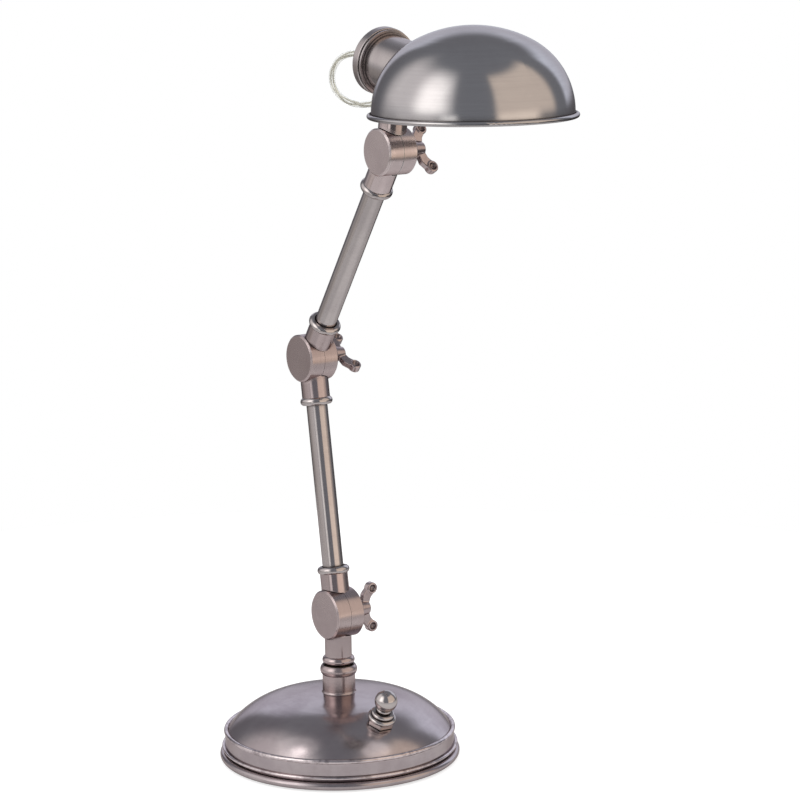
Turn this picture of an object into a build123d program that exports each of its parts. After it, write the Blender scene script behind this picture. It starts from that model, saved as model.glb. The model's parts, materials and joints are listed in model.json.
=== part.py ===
from build123d import *
import os
from math import asin, atan2, cos, degrees, radians, sin, sqrt, tan

# Table lamp of aged nickel: a weighted round base, a swivelling post, two arms of tube on three
# clamped swivel joints, and a head with a dome shade over a screw-in lamp.
# Millimetres and degrees. +Z is up, +X is the way the shade points and +Y is the side of the
# wing nuts. The origin is the middle of the underside, and the joints stand as photographed.

# Stance
arm_span = 176.0
lower_lean_angle = -8.6
upper_lean_angle = 33.3

# Fits
overrun = 2.0
running_gap = 0.05
free_gap = 0.3
hex_sides = 6

# Base shell, from the foot bead up to the seat of the post
base_radius = 82.5
foot_lift = 1.0
foot_bead = 2.6
groove_inset = 3.5
lip_gap = 1.9
lip_inset = 2.5
lip_thickness = 2.2
band_inset = 3.5
band_height = 8.4
ridge_bead = 1.6
ridge_inset = 2.9
ridge_low_angle = -60.0
ridge_high_angle = 150.0
dome_crown_share = 2.67
dome_shoulder_share = 0.7
dome_meet_angle = 78.94
post_seat_radius = 12.0
shell_bore_inset = 6.8
shell_wall = 1.6

# Inside the base
felt_thickness = 1.5
felt_inset = 0.8
plate_thickness = 2.0
plate_gap = 0.3
plate_screw_radius = 2.0
plate_screw_head = 3.8
plate_screw_length = 9.0
plate_screw_circle_radius = 50.0
plate_screw_count = 3
weight_gap = 2.0
weight_height = 12.0
weight_boss_radius = 16.0
nut_pocket_radius = 11.0
nut_pocket_depth = 8.0
rod_radius = 5.0
rod_bore = 3.2
rod_thread = 7.0
tie_washer_radius = 10.0
tie_washer_thickness = 1.2
tie_nut_flats = 16.0
tie_nut_height = 5.5
rod_tail = 0.6

# Cord bushing at the back of the base
bushing_flange = 3.6
bushing_flange_length = 1.6
bushing_round = 0.8
bushing_neck = 3.0
bushing_bore = 2.2
bushing_tail = 1.2
weight_notch_width = 12.0
weight_notch_length = 16.0
weight_notch_depth = 7.0

# Switch on the dome, along the dome's normal
switch_share = 0.67
switch_swing_angle = -3.75
switch_body_radius = 9.0
switch_body_depth = 12.0
switch_neck_radius = 4.4
switch_neck_height = 8.8
switch_nut_flats = 16.0
switch_nut_height = 3.0
switch_ring_radius = 9.5
switch_ring_height = 3.4
switch_step_radius = 7.8
switch_step_height = 3.0
switch_shaft_radius = 2.6
switch_shaft_depth = 5.0
knob_neck_radius = 5.1
knob_neck_height = 2.9
knob_ball_radius = 7.6
knob_ball_rise = 8.6

# Post and swivel
post_foot_radius = 11.9
post_radius = 11.2
post_flare = 1.6
post_hollow = 0.2
post_height = 12.6
post_ring_radius = 12.7
post_ring_height = 6.8
swivel_washer_thickness = 0.5
swivel_washer_radius = 10.4
spigot_radius = 6.5
spigot_length = 12.0
spigot_groove_depth = 1.5
set_screw_radius = 1.4
set_screw_drop = 9.6
set_screw_sink = 0.3
stop_width = 10.0
turret_ring_radius = 11.1
turret_ring_height = 5.7
turret_neck_radius = 9.2
neck_length = 35.5

# Swivel joints
shoulder_barrel_radius = 17.0
elbow_barrel_radius = 16.1
wrist_barrel_radius = 15.4
barrel_half = 11.1
barrel_chamfer = 1.0
seam_gap = 0.3
saddle_gap = 0.4
pocket_radius = 12.4
pocket_depth = 7.4
hub_radius = 7.4
stud_radius = 3.0
stud_socket = 8.4
stud_reach = 25.8
stud_chamfer = 0.75
friction_thickness = 0.9
friction_seat = 0.6
spring_thickness = 1.1
spring_radius = 7.6
lead_hole = 2.6
lead_hole_shift = 4.2

# Collars, tubes and bead rings
collar_radius = 9.5
collar_root = 11.5
collar_reach = 27.5
tube_socket = 20.0
tube_radius = 7.2
tube_wall = 1.4
bead_radius = 11.0
bead_height = 5.0
bead_relief_width = 0.7
bead_relief_depth = 1.6
arm_lead_radius = 2.0
lead_bushing_length = 5.0

# Wing nuts
nut_hub_radius = 6.4
nut_hub_collar = 1.6
nut_hub_top_radius = 4.4
nut_hub_length = 12.6
wing_root_radius = 2.2
wing_root_rise = 9.4
wing_bend_radius = 3.2
wing_bend_reach = 8.4
wing_bend_rise = 10.8
wing_thickness = 4.2
pad_radius = 4.0
pad_thickness = 5.4
pad_reach = 13.4
pad_rise = 15.2
pad_round = 0.8
dimple_radius = 2.6
dimple_depth = 2.2
shoulder_wing_angle = 0.0
elbow_wing_angle = 126.0
wrist_wing_angle = 152.0

# Head: socket cup on a stem, with a cap behind
cup_tilt_angle = 9.1
cup_rise = 55.6
stem_radius = 9.3
stem_bore = 4.0
stem_bore_reach = 35.0
cup_radius = 18.1
cup_wall = 1.5
cup_back = 12.2
cup_front = 44.0
cup_lip_radius = 21.2
cup_lip_length = 1.4
cup_step_radius = 19.3
cup_step_length = 1.1
cap_radius = 21.9
cap_length = 6.0
cap_round = 0.8
cap_neck_radius = 20.3
cap_neck_length = 0.9
cap_crown_radius = 8.0
cap_crown_rise = 2.6
cap_spigot_length = 5.0
cap_wall = 2.0

# Lamp socket and lamp
socket_back = 12.0
socket_floor = 4.0
socket_length = 30.0
shell_radius = 13.6
shell_thickness = 0.4
contact_radius = 4.0
contact_height = 1.2
lamp_cap_wall = 0.6
lamp_cap_shoulder = 4.0
lamp_neck_sink = 5.0
lamp_radius = 14.2
lamp_flare = 8.0
lamp_length = 49.0
lamp_wall = 0.8

# Shade
shade_back = 26.5
shade_above = 28.2
shade_radius = 62.9
shade_height = 55.8
shade_skirt = 2.8
shade_wall = 1.0
shade_arch_share = 0.85
shoulder_share = 0.938
rim_bead = 1.6
rim_overhang = 2.7
shade_ring_width = 2.4

# Lead looped from the cap to the stem: ahead of and above the wrist, all in the arms' plane
lead_radius = 2.0
lead_flange = 3.2
lead_flange_length = 2.2
lead_neck = 2.7
lead_neck_length = 5.2
lead_spot = 1.6
lead_route = [
    (-8.07, 57.6),
    (-18.9, 59.34),
    (-33.5, 61.2),
    (-48.0, 60.0),
    (-59.5, 55.6),
    (-66.6, 47.9),
    (-66.6, 39.5),
    (-60.0, 32.8),
    (-47.5, 28.6),
    (-35.0, 27.6),
    (-22.0, 28.9),
    (-9.0, 30.4),
    (2.2, 31.9),
]
lead_bend_share = 0.45

# Levels and circles that follow from the sizes above
foot_ring = base_radius - foot_bead
groove_radius = base_radius - groove_inset
groove_height = foot_lift + foot_bead + sqrt(foot_bead**2 - (groove_radius - foot_ring) ** 2)
lip_ring = base_radius - lip_inset
lip_height = groove_height + lip_gap
band_radius = base_radius - band_inset
band_foot_height = lip_height + lip_thickness
band_top_height = band_foot_height + band_height
ridge_ring = base_radius - ridge_inset - ridge_bead
ridge_level = band_top_height - ridge_bead * sin(radians(ridge_low_angle))


def ridge_point(angle):
    """A point of the ridge's round, at an angle up from level."""
    return (
        ridge_ring + ridge_bead * cos(radians(angle)),
        ridge_level + ridge_bead * sin(radians(angle)),
    )


band_top_radius = ridge_point(ridge_low_angle)[0]
dome_edge_radius, dome_edge_height = ridge_point(ridge_high_angle)
shell_bore = base_radius - shell_bore_inset
switch_reach = switch_share * base_radius
dome_crown = dome_crown_share * base_radius
dome_shoulder = dome_shoulder_share * base_radius
shoulder_ring = (dome_crown - dome_shoulder) * cos(radians(dome_meet_angle))
shoulder_level = dome_edge_height - sqrt(dome_shoulder**2 - (dome_edge_radius - shoulder_ring) ** 2)
crown_level = shoulder_level - (dome_crown - dome_shoulder) * sin(radians(dome_meet_angle))
seat_height = crown_level + sqrt(dome_crown**2 - post_seat_radius**2)
plate_top = felt_thickness + plate_thickness
plate_radius = shell_bore - plate_gap
weight_top = plate_top + weight_height
weight_radius = shell_bore - weight_gap
rod_hole = rod_radius + free_gap
pocket_top = plate_top + nut_pocket_depth
post_top = seat_height + post_height + post_ring_height
swivel_face = post_top + swivel_washer_thickness + running_gap
shoulder_height = swivel_face + neck_length
hub_face = friction_thickness - friction_seat + running_gap
shell_inside = shell_radius - shell_thickness


def lean_vector(lean):
    """Unit vector in the arms' plane, leaning from upright towards +X."""
    return Vector(sin(radians(lean)), 0, cos(radians(lean)))


shoulder = Vector(0, 0, shoulder_height)
elbow = shoulder + lean_vector(lower_lean_angle) * arm_span
wrist = elbow + lean_vector(upper_lean_angle) * arm_span

os.makedirs("parts", exist_ok=True)


def keep(name, part):
    """Label a finished piece and write it out."""
    part.label = name
    export_step(part, f"parts/{name}.step")


def dome_height(radius, inset):
    """Height of the base's dome at a distance from the axis, or of a surface set in from it."""
    if radius < (dome_crown - inset) * cos(radians(dome_meet_angle)):
        return crown_level + sqrt((dome_crown - inset) ** 2 - radius**2)
    return shoulder_level + sqrt((dome_shoulder - inset) ** 2 - (radius - shoulder_ring) ** 2)


def dome_middle(near, far, inset):
    """A point of the dome's curve between two distances from the axis."""
    middle = (near + far) / 2
    return (middle, dome_height(middle, inset))


def dome_join(inset):
    """The point where the dome's crown meets its shoulder."""
    radius = (dome_crown - inset) * cos(radians(dome_meet_angle))
    return (radius, crown_level + (dome_crown - inset) * sin(radians(dome_meet_angle)))


def tube(plane, inner, outer, length):
    """A straight tube, washer or bushing that stands on a plane."""
    with BuildPart() as piece:
        with BuildSketch(plane):
            Circle(outer)
            Circle(inner, mode=Mode.SUBTRACT)
        extrude(amount=length)
    return piece.part


def stalk_plane(joint, lean):
    """Plane square to a collar that leaves a joint at a lean, with its x along the joint's axis."""
    return Plane(origin=joint, x_dir=(0, 1, 0), z_dir=lean_vector(lean))


def side_plane(joint, side):
    """Plane across a joint's axis, facing along +Y or -Y."""
    return Plane(origin=joint, x_dir=(1, 0, 0), z_dir=(0, side, 0))


# Base: shell, weight, plate and felt
with BuildPart() as base_shell:
    with BuildSketch(Plane.XZ):
        with BuildLine():
            Polyline(
                (shell_bore, dome_height(shell_bore, shell_wall)),
                (shell_bore, foot_lift),
                (foot_ring, foot_lift),
            )
            ThreePointArc(
                (foot_ring, foot_lift),
                (base_radius, foot_lift + foot_bead),
                (groove_radius, groove_height),
            )
            Line((groove_radius, groove_height), (lip_ring, lip_height))
            ThreePointArc(
                (lip_ring, lip_height),
                (lip_ring + lip_thickness / 2, lip_height + lip_thickness / 2),
                (lip_ring, band_foot_height),
            )
            Polyline(
                (lip_ring, band_foot_height),
                (band_radius, band_foot_height),
                (band_top_radius, band_top_height),
            )
            ThreePointArc(
                (band_top_radius, band_top_height),
                ridge_point((ridge_low_angle + ridge_high_angle) / 2),
                (dome_edge_radius, dome_edge_height),
            )
            ThreePointArc(
                (dome_edge_radius, dome_edge_height),
                dome_middle(dome_join(0)[0], dome_edge_radius, 0),
                dome_join(0),
            )
            ThreePointArc(
                dome_join(0),
                dome_middle(post_seat_radius, dome_join(0)[0], 0),
                (post_seat_radius, seat_height),
            )
            Polyline(
                (post_seat_radius, seat_height),
                (rod_hole, seat_height),
                (rod_hole, dome_height(rod_hole, shell_wall)),
            )
            ThreePointArc(
                (rod_hole, dome_height(rod_hole, shell_wall)),
                dome_middle(rod_hole, dome_join(shell_wall)[0], shell_wall),
                dome_join(shell_wall),
            )
            ThreePointArc(
                dome_join(shell_wall),
                dome_middle(dome_join(shell_wall)[0], shell_bore, shell_wall),
                (shell_bore, dome_height(shell_bore, shell_wall)),
            )
        make_face()
    revolve(axis=Axis.Z)

switch_out = Vector(cos(radians(switch_swing_angle)), sin(radians(switch_swing_angle)), 0)
switch_side = Vector(0, 0, 1).cross(switch_out)
switch_seat = switch_out * switch_reach + Vector(0, 0, dome_height(switch_reach, 0))
switch_lean = asin((switch_reach - shoulder_ring) / dome_shoulder)
switch_way = switch_out * sin(switch_lean) + Vector(0, 0, cos(switch_lean))
switch_axis = Axis(switch_seat, switch_way)
switch_plane = Plane(origin=switch_seat, x_dir=switch_side, z_dir=switch_way)
switch_profile = Plane(origin=switch_seat, x_dir=switch_side.cross(switch_way), z_dir=-switch_side)
dome_inside = dome_shoulder - shell_wall
body_sink = dome_inside - sqrt(dome_inside**2 - switch_body_radius**2)
body_top = -shell_wall - body_sink
cord_height = (band_foot_height + band_top_height) / 2
cord_plane = Plane(origin=(-band_radius, 0, cord_height), x_dir=(0, 1, 0), z_dir=(-1, 0, 0))
bushing_depth = band_radius - shell_bore + bushing_tail
with BuildPart() as shell_with_holes:
    add(base_shell.part)
    with BuildSketch(switch_plane.offset(overrun)):
        Circle(switch_neck_radius)
    extrude(amount=-(shell_wall + 2 * overrun), mode=Mode.SUBTRACT)
    with BuildSketch(cord_plane.offset(overrun)):
        Circle(bushing_neck)
    extrude(amount=-(bushing_depth + 2 * overrun), mode=Mode.SUBTRACT)
keep("base_shell", shell_with_holes.part)

with BuildPart() as base_weight:
    with BuildSketch(Plane.XZ):
        with BuildLine():
            Polyline(
                (rod_hole, dome_height(rod_hole, shell_wall)),
                (rod_hole, pocket_top),
                (nut_pocket_radius, pocket_top),
                (nut_pocket_radius, plate_top),
                (weight_radius, plate_top),
                (weight_radius, weight_top),
                (weight_boss_radius, weight_top),
                (weight_boss_radius, dome_height(weight_boss_radius, shell_wall)),
            )
            ThreePointArc(
                (weight_boss_radius, dome_height(weight_boss_radius, shell_wall)),
                dome_middle(rod_hole, weight_boss_radius, shell_wall),
                (rod_hole, dome_height(rod_hole, shell_wall)),
            )
        make_face()
    revolve(axis=Axis.Z)
    with BuildSketch(Plane.XY.offset(weight_top - weight_notch_depth)):
        with Locations((-weight_radius, 0)):
            Rectangle(2 * weight_notch_length, weight_notch_width)
    extrude(amount=weight_notch_depth + overrun, mode=Mode.SUBTRACT)
    with BuildSketch(switch_plane.offset(body_top)):
        Circle(switch_body_radius + free_gap)
    extrude(amount=-(switch_body_depth + free_gap), mode=Mode.SUBTRACT)
    with BuildSketch(Plane.XY.offset(felt_thickness)):
        with PolarLocations(plate_screw_circle_radius, plate_screw_count):
            Circle(plate_screw_radius)
    extrude(amount=plate_screw_length, mode=Mode.SUBTRACT)
keep("base_weight", base_weight.part)

with BuildPart() as base_plate:
    with BuildSketch(Plane.XY.offset(felt_thickness)):
        Circle(plate_radius)
        with PolarLocations(plate_screw_circle_radius, plate_screw_count):
            Circle(plate_screw_head, mode=Mode.SUBTRACT)
    extrude(amount=plate_thickness)
keep("base_plate", base_plate.part)

with BuildPart() as plate_screws:
    with BuildSketch(Plane.XY.offset(felt_thickness)):
        with PolarLocations(plate_screw_circle_radius, plate_screw_count):
            Circle(plate_screw_head)
    extrude(amount=plate_thickness)
    with BuildSketch(Plane.XY.offset(felt_thickness)):
        with PolarLocations(plate_screw_circle_radius, plate_screw_count):
            Circle(plate_screw_radius)
    extrude(amount=plate_screw_length)
keep("plate_screws", plate_screws.part)

with BuildPart() as felt_pad:
    with BuildSketch(Plane.XY):
        Circle(plate_radius - felt_inset)
    extrude(amount=felt_thickness)
keep("felt_pad", felt_pad.part)

# Tie rod that clamps shell and weight to the post
washer_floor = pocket_top - tie_washer_thickness
nut_floor = washer_floor - tie_nut_height
rod_floor = nut_floor - rod_tail
rod_top = seat_height + rod_thread
keep("tie_rod", tube(Plane.XY.offset(rod_floor), rod_bore, rod_radius, rod_top - rod_floor))
keep(
    "tie_washer",
    tube(Plane.XY.offset(washer_floor), rod_radius, tie_washer_radius, tie_washer_thickness),
)
with BuildPart() as tie_nut:
    with BuildSketch(Plane.XY.offset(nut_floor)):
        RegularPolygon(tie_nut_flats / 2, hex_sides, major_radius=False)
        Circle(rod_radius, mode=Mode.SUBTRACT)
    extrude(amount=tie_nut_height)
keep("tie_nut", tie_nut.part)

with BuildPart() as cord_bushing:
    with BuildSketch(cord_plane):
        Circle(bushing_flange)
    extrude(amount=bushing_flange_length)
    fillet(cord_bushing.faces().sort_by(Axis.X)[0].edges(), bushing_round)
    with BuildSketch(cord_plane):
        Circle(bushing_neck)
    extrude(amount=-bushing_depth)
    with BuildSketch(cord_plane.offset(bushing_flange_length + overrun)):
        Circle(bushing_bore)
    extrude(amount=-(bushing_depth + bushing_flange_length + 2 * overrun), mode=Mode.SUBTRACT)
keep("cord_bushing", cord_bushing.part)

# Switch: body under the dome, hex nut and stepped collar above it, ball knob on its shaft
shaft_floor = body_top - switch_shaft_depth
shaft_bore = switch_shaft_radius + running_gap
collar_foot = switch_nut_height
collar_step = collar_foot + switch_ring_height
collar_top = collar_step + switch_step_height
with BuildPart() as switch_body:
    with BuildSketch(switch_plane.offset(body_top)):
        Circle(switch_body_radius)
    extrude(amount=-switch_body_depth)
    with BuildSketch(switch_plane.offset(body_top)):
        Circle(switch_neck_radius)
    extrude(amount=switch_neck_height - body_top)
    with BuildSketch(switch_plane.offset(shaft_floor)):
        Circle(shaft_bore)
    extrude(amount=switch_neck_height - shaft_floor + overrun, mode=Mode.SUBTRACT)
keep("switch_body", switch_body.part)

with BuildPart() as switch_nut:
    with BuildSketch(switch_plane):
        RegularPolygon(switch_nut_flats / 2, hex_sides, major_radius=False)
    extrude(amount=switch_nut_height)
    with BuildSketch(switch_plane):
        Circle(switch_neck_radius)
    extrude(amount=switch_nut_height, mode=Mode.SUBTRACT)
keep("switch_nut", switch_nut.part)

with BuildPart() as switch_collar:
    with BuildSketch(switch_profile):
        with BuildLine():
            ring_edge = switch_ring_radius - switch_ring_height / 2
            step_edge = switch_step_radius - switch_step_height / 2
            Polyline(
                (step_edge, collar_top),
                (switch_neck_radius, collar_top),
                (switch_neck_radius, collar_foot),
                (ring_edge, collar_foot),
            )
            ThreePointArc(
                (ring_edge, collar_foot),
                (switch_ring_radius, (collar_foot + collar_step) / 2),
                (ring_edge, collar_step),
            )
            Line((ring_edge, collar_step), (step_edge, collar_step))
            ThreePointArc(
                (step_edge, collar_step),
                (switch_step_radius, (collar_step + collar_top) / 2),
                (step_edge, collar_top),
            )
        make_face()
    revolve(axis=switch_axis)
keep("switch_collar", switch_collar.part)

knob_foot = collar_top + free_gap
ball_height = knob_foot + knob_ball_rise
ball_centre = switch_seat + switch_way * ball_height
with BuildPart() as switch_knob:
    with BuildSketch(switch_profile):
        with BuildLine():
            knob_edge = knob_neck_radius - knob_neck_height / 2
            Polyline(
                (switch_shaft_radius, knob_foot + knob_neck_height),
                (switch_shaft_radius, knob_foot),
                (knob_edge, knob_foot),
            )
            ThreePointArc(
                (knob_edge, knob_foot),
                (knob_neck_radius, knob_foot + knob_neck_height / 2),
                (knob_edge, knob_foot + knob_neck_height),
            )
            Line(
                (knob_edge, knob_foot + knob_neck_height),
                (switch_shaft_radius, knob_foot + knob_neck_height),
            )
        make_face()
    revolve(axis=switch_axis)
    with Locations(ball_centre):
        Sphere(knob_ball_radius)
    with BuildSketch(switch_plane.offset(knob_foot)):
        Circle(switch_shaft_radius)
    extrude(amount=ball_height - knob_foot, mode=Mode.SUBTRACT)
keep("switch_knob", switch_knob.part)

with BuildPart() as switch_shaft:
    with BuildSketch(switch_plane.offset(shaft_floor + free_gap)):
        Circle(switch_shaft_radius)
    extrude(amount=ball_height - shaft_floor - free_gap)
keep("switch_shaft", switch_shaft.part)

# Post with its ring, the washer it carries and the set screw that holds the swivel
ring_foot = seat_height + post_height
spigot_bore = spigot_radius + running_gap
spigot_floor = swivel_face - spigot_length
screw_height = swivel_face - set_screw_drop
screw_plane = Plane(origin=(0, 0, screw_height), x_dir=(0, 1, 0), z_dir=(-1, 0, 0))
groove_wall = spigot_radius - spigot_groove_depth
screw_tip = groove_wall + 2 * running_gap
with BuildPart() as base_post:
    with BuildSketch(Plane.XZ):
        with BuildLine():
            Polyline(
                (post_radius, post_top),
                (spigot_bore, post_top),
                (spigot_bore, rod_top),
                (rod_radius, rod_top),
                (rod_radius, seat_height),
                (post_foot_radius, seat_height),
            )
            ThreePointArc(
                (post_foot_radius, seat_height),
                ((post_foot_radius + post_radius) / 2 - post_hollow, seat_height + post_flare / 2),
                (post_radius, seat_height + post_flare),
            )
            Line((post_radius, seat_height + post_flare), (post_radius, ring_foot))
            ThreePointArc(
                (post_radius, ring_foot),
                (post_ring_radius, (ring_foot + post_top) / 2),
                (post_radius, post_top),
            )
        make_face()
    revolve(axis=Axis.Z)
    with BuildSketch(screw_plane):
        Circle(set_screw_radius)
    extrude(amount=post_ring_radius + overrun, mode=Mode.SUBTRACT)
keep("base_post", base_post.part)
keep(
    "swivel_washer",
    tube(Plane.XY.offset(post_top), spigot_bore, swivel_washer_radius, swivel_washer_thickness),
)
with BuildPart() as swivel_screw:
    with BuildSketch(screw_plane.offset(screw_tip)):
        Circle(set_screw_radius)
    extrude(amount=post_radius - set_screw_sink - screw_tip)
keep("swivel_screw", swivel_screw.part)


def knuckle(joint, barrel_radius, lean, side, neck_radius, reach):
    """One half of a swivel barrel with the collar that carries it."""
    face = side_plane(joint, side)
    stalk = stalk_plane(joint, lean)
    hub_depth = friction_seat if side < 0 else hub_face
    with BuildPart() as half:
        with BuildSketch(stalk.offset(collar_root)):
            Circle(neck_radius)
        extrude(amount=reach - collar_root)
        with BuildSketch(face.offset(seam_gap / 2)):
            Circle(barrel_radius + saddle_gap)
        extrude(amount=-(neck_radius + overrun), mode=Mode.SUBTRACT)
        with BuildSketch(face.offset(seam_gap / 2)):
            Circle(barrel_radius)
        extrude(amount=barrel_half - seam_gap / 2)
        outer_face = half.faces().sort_by(Axis.Y)[-1 if side > 0 else 0]
        chamfer(outer_face.edges(), barrel_chamfer)
        with BuildSketch(face.offset(seam_gap / 2)):
            Circle(pocket_radius)
            Circle(hub_radius, mode=Mode.SUBTRACT)
        extrude(amount=pocket_depth, mode=Mode.SUBTRACT)
        with BuildSketch(face):
            Circle(hub_radius)
        extrude(amount=hub_depth, mode=Mode.SUBTRACT)
        with BuildSketch(face):
            Circle(stud_radius if side < 0 else stud_radius + running_gap)
        extrude(amount=stud_socket if side < 0 else barrel_half + overrun, mode=Mode.SUBTRACT)
        with BuildSketch(stalk.offset((hub_radius + pocket_radius) / 2)):
            with Locations((side * lead_hole_shift, 0)):
                Circle(lead_hole)
        extrude(amount=tube_socket - (hub_radius + pocket_radius) / 2, mode=Mode.SUBTRACT)
    return half.part


def arm_knuckle(joint, barrel_radius, lean, side):
    """A knuckle whose collar is a socket for an arm's tube."""
    with BuildPart() as half:
        add(knuckle(joint, barrel_radius, lean, side, collar_radius, collar_reach))
        with BuildSketch(stalk_plane(joint, lean).offset(tube_socket)):
            Circle(tube_radius)
        extrude(amount=collar_reach - tube_socket + overrun, mode=Mode.SUBTRACT)
    return half.part


# Turret: the shoulder's lower knuckle, whose neck ends in a ring and a spigot in the post
stop_plane = Plane(
    origin=(0, 0, 0),
    x_dir=(cos(radians(stop_width / 2)), sin(radians(stop_width / 2)), 0),
    z_dir=(sin(radians(stop_width / 2)), -cos(radians(stop_width / 2)), 0),
)
groove_half = set_screw_radius + 2 * running_gap
turret_bore_roof = shoulder_height - shoulder_barrel_radius - saddle_gap - tube_wall
with BuildPart() as turret_knuckle:
    add(knuckle(shoulder, shoulder_barrel_radius, 180, -1, turret_neck_radius, neck_length))
    with BuildSketch(Plane.XZ):
        with BuildLine():
            Polyline(
                (turret_neck_radius, swivel_face + turret_ring_height),
                (0, swivel_face + turret_ring_height),
                (0, swivel_face),
                (turret_neck_radius, swivel_face),
            )
            ThreePointArc(
                (turret_neck_radius, swivel_face),
                (turret_ring_radius, swivel_face + turret_ring_height / 2),
                (turret_neck_radius, swivel_face + turret_ring_height),
            )
        make_face()
    revolve(axis=Axis.Z)
    with BuildSketch(Plane.XY.offset(spigot_floor)):
        Circle(spigot_radius)
    extrude(amount=spigot_length)
    with BuildSketch(stop_plane):
        with BuildLine():
            Polyline(
                (groove_wall, screw_height - groove_half),
                (spigot_radius + overrun, screw_height - groove_half),
                (spigot_radius + overrun, screw_height + groove_half),
                (groove_wall, screw_height + groove_half),
                close=True,
            )
        make_face()
    revolve(axis=Axis.Z, revolution_arc=360 - stop_width, mode=Mode.SUBTRACT)
    with BuildSketch(Plane.XY.offset(spigot_floor)):
        Circle(rod_bore)
    extrude(amount=turret_bore_roof - spigot_floor, mode=Mode.SUBTRACT)
keep("turret_knuckle", turret_knuckle.part)

# Knuckles on the two arms
keep("shoulder_knuckle", arm_knuckle(shoulder, shoulder_barrel_radius, lower_lean_angle, 1))
keep("elbow_lower_knuckle", arm_knuckle(elbow, elbow_barrel_radius, lower_lean_angle + 180, -1))
keep("elbow_upper_knuckle", arm_knuckle(elbow, elbow_barrel_radius, upper_lean_angle, 1))
keep("wrist_lower_knuckle", arm_knuckle(wrist, wrist_barrel_radius, upper_lean_angle + 180, -1))


def bead(plane):
    """Half-round bead ring on a tube, standing on a plane square to the tube."""
    relief_radius = tube_radius + bead_relief_width
    with BuildPart() as ring:
        with BuildSketch(Plane(origin=plane.origin, x_dir=plane.x_dir, z_dir=-plane.y_dir)):
            with BuildLine():
                Polyline(
                    (collar_radius, bead_height),
                    (relief_radius, bead_height),
                    (relief_radius, bead_height - bead_relief_depth),
                    (tube_radius, bead_height - bead_relief_depth),
                    (tube_radius, 0),
                    (collar_radius, 0),
                )
                ThreePointArc(
                    (collar_radius, 0),
                    (bead_radius, bead_height / 2),
                    (collar_radius, bead_height),
                )
            make_face()
        revolve(axis=Axis(plane.origin, plane.z_dir))
    return ring.part


# Tubes, their bead rings, and the lead with its two bushings inside each
tube_bore = tube_radius - tube_wall
for arm, foot, lean in (("lower", shoulder, lower_lean_angle), ("upper", elbow, upper_lean_angle)):
    head = foot + lean_vector(lean) * arm_span
    foot_plane = stalk_plane(foot, lean)
    head_plane = stalk_plane(head, lean + 180)
    tube_length = arm_span - 2 * tube_socket
    keep(f"{arm}_arm_tube", tube(foot_plane.offset(tube_socket), tube_bore, tube_radius, tube_length))
    with BuildPart() as beads:
        add(bead(foot_plane.offset(collar_reach)))
        add(bead(head_plane.offset(collar_reach)))
    keep(f"{arm}_arm_beads", beads.part)
    with BuildPart() as lead:
        with BuildSketch(foot_plane.offset(tube_socket)):
            Circle(arm_lead_radius)
        extrude(amount=tube_length)
    keep(f"{arm}_arm_lead", lead.part)
    with BuildPart() as bushings:
        for end in (foot_plane, head_plane):
            add(tube(end.offset(tube_socket), arm_lead_radius, tube_bore, lead_bushing_length))
    keep(f"{arm}_lead_bushings", bushings.part)


def wing_nut(joint, lean):
    """Wing nut on a joint's stud, with round dimpled pads at the ends of its wings."""
    outward = lean_vector(lean)
    profile = Plane(origin=joint, x_dir=outward, z_dir=outward.cross(Vector(0, 1, 0)))
    foot = barrel_half + spring_thickness + running_gap
    dimple_centre = pad_thickness / 2 + dimple_radius - dimple_depth
    wing = (
        ((0, foot + wing_root_rise), wing_root_radius),
        ((wing_bend_reach, foot + wing_bend_rise), wing_bend_radius),
        ((pad_reach, foot + pad_rise), pad_radius - pad_round),
    )
    with BuildPart() as nut:
        with BuildSketch(profile):
            with Locations((pad_reach, foot + pad_rise), (-pad_reach, foot + pad_rise)):
                Circle(pad_radius)
        extrude(amount=pad_thickness / 2, both=True)
        fillet(nut.edges().filter_by(GeomType.CIRCLE), pad_round)
        for side in (1, -1):
            for (near, near_radius), (far, far_radius) in zip(wing, wing[1:]):
                with BuildSketch(profile):
                    with Locations((side * near[0], near[1])):
                        Circle(near_radius)
                    with Locations((side * far[0], far[1])):
                        Circle(far_radius)
                    make_hull()
                extrude(amount=wing_thickness / 2, both=True)
            for face in (1, -1):
                with Locations(profile.location * Location(
                    (side * pad_reach, foot + pad_rise, face * dimple_centre)
                )):
                    Sphere(dimple_radius, mode=Mode.SUBTRACT)
        with BuildSketch(profile):
            with BuildLine():
                Polyline(
                    (0, foot),
                    (nut_hub_radius, foot),
                    (nut_hub_radius, foot + nut_hub_collar),
                    (nut_hub_top_radius, foot + nut_hub_length),
                    (0, foot + nut_hub_length),
                    close=True,
                )
            make_face()
        revolve(axis=Axis(joint, (0, 1, 0)))
        with BuildSketch(side_plane(joint, 1)):
            Circle(stud_radius + running_gap)
        extrude(amount=stud_reach + overrun, mode=Mode.SUBTRACT)
    return nut.part


# Clamping hardware of the three joints
for name, joint, wing in (
    ("shoulder", shoulder, shoulder_wing_angle),
    ("elbow", elbow, elbow_wing_angle),
    ("wrist", wrist, wrist_wing_angle),
):
    outward = side_plane(joint, 1)
    with BuildPart() as stud:
        with BuildSketch(outward.offset(-stud_socket)):
            Circle(stud_radius)
        extrude(amount=stud_socket + stud_reach)
        chamfer(stud.faces().sort_by(Axis.Y)[-1].edges(), stud_chamfer)
    keep(f"{name}_stud", stud.part)
    friction_bore = stud_radius + running_gap
    friction_plane = outward.offset(-friction_seat)
    keep(
        f"{name}_friction_washer",
        tube(friction_plane, friction_bore, hub_radius, friction_thickness),
    )
    spring_plane = outward.offset(barrel_half)
    keep(f"{name}_spring_washer", tube(spring_plane, friction_bore, spring_radius, spring_thickness))
    keep(f"{name}_wing_nut", wing_nut(joint, wing))

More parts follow.
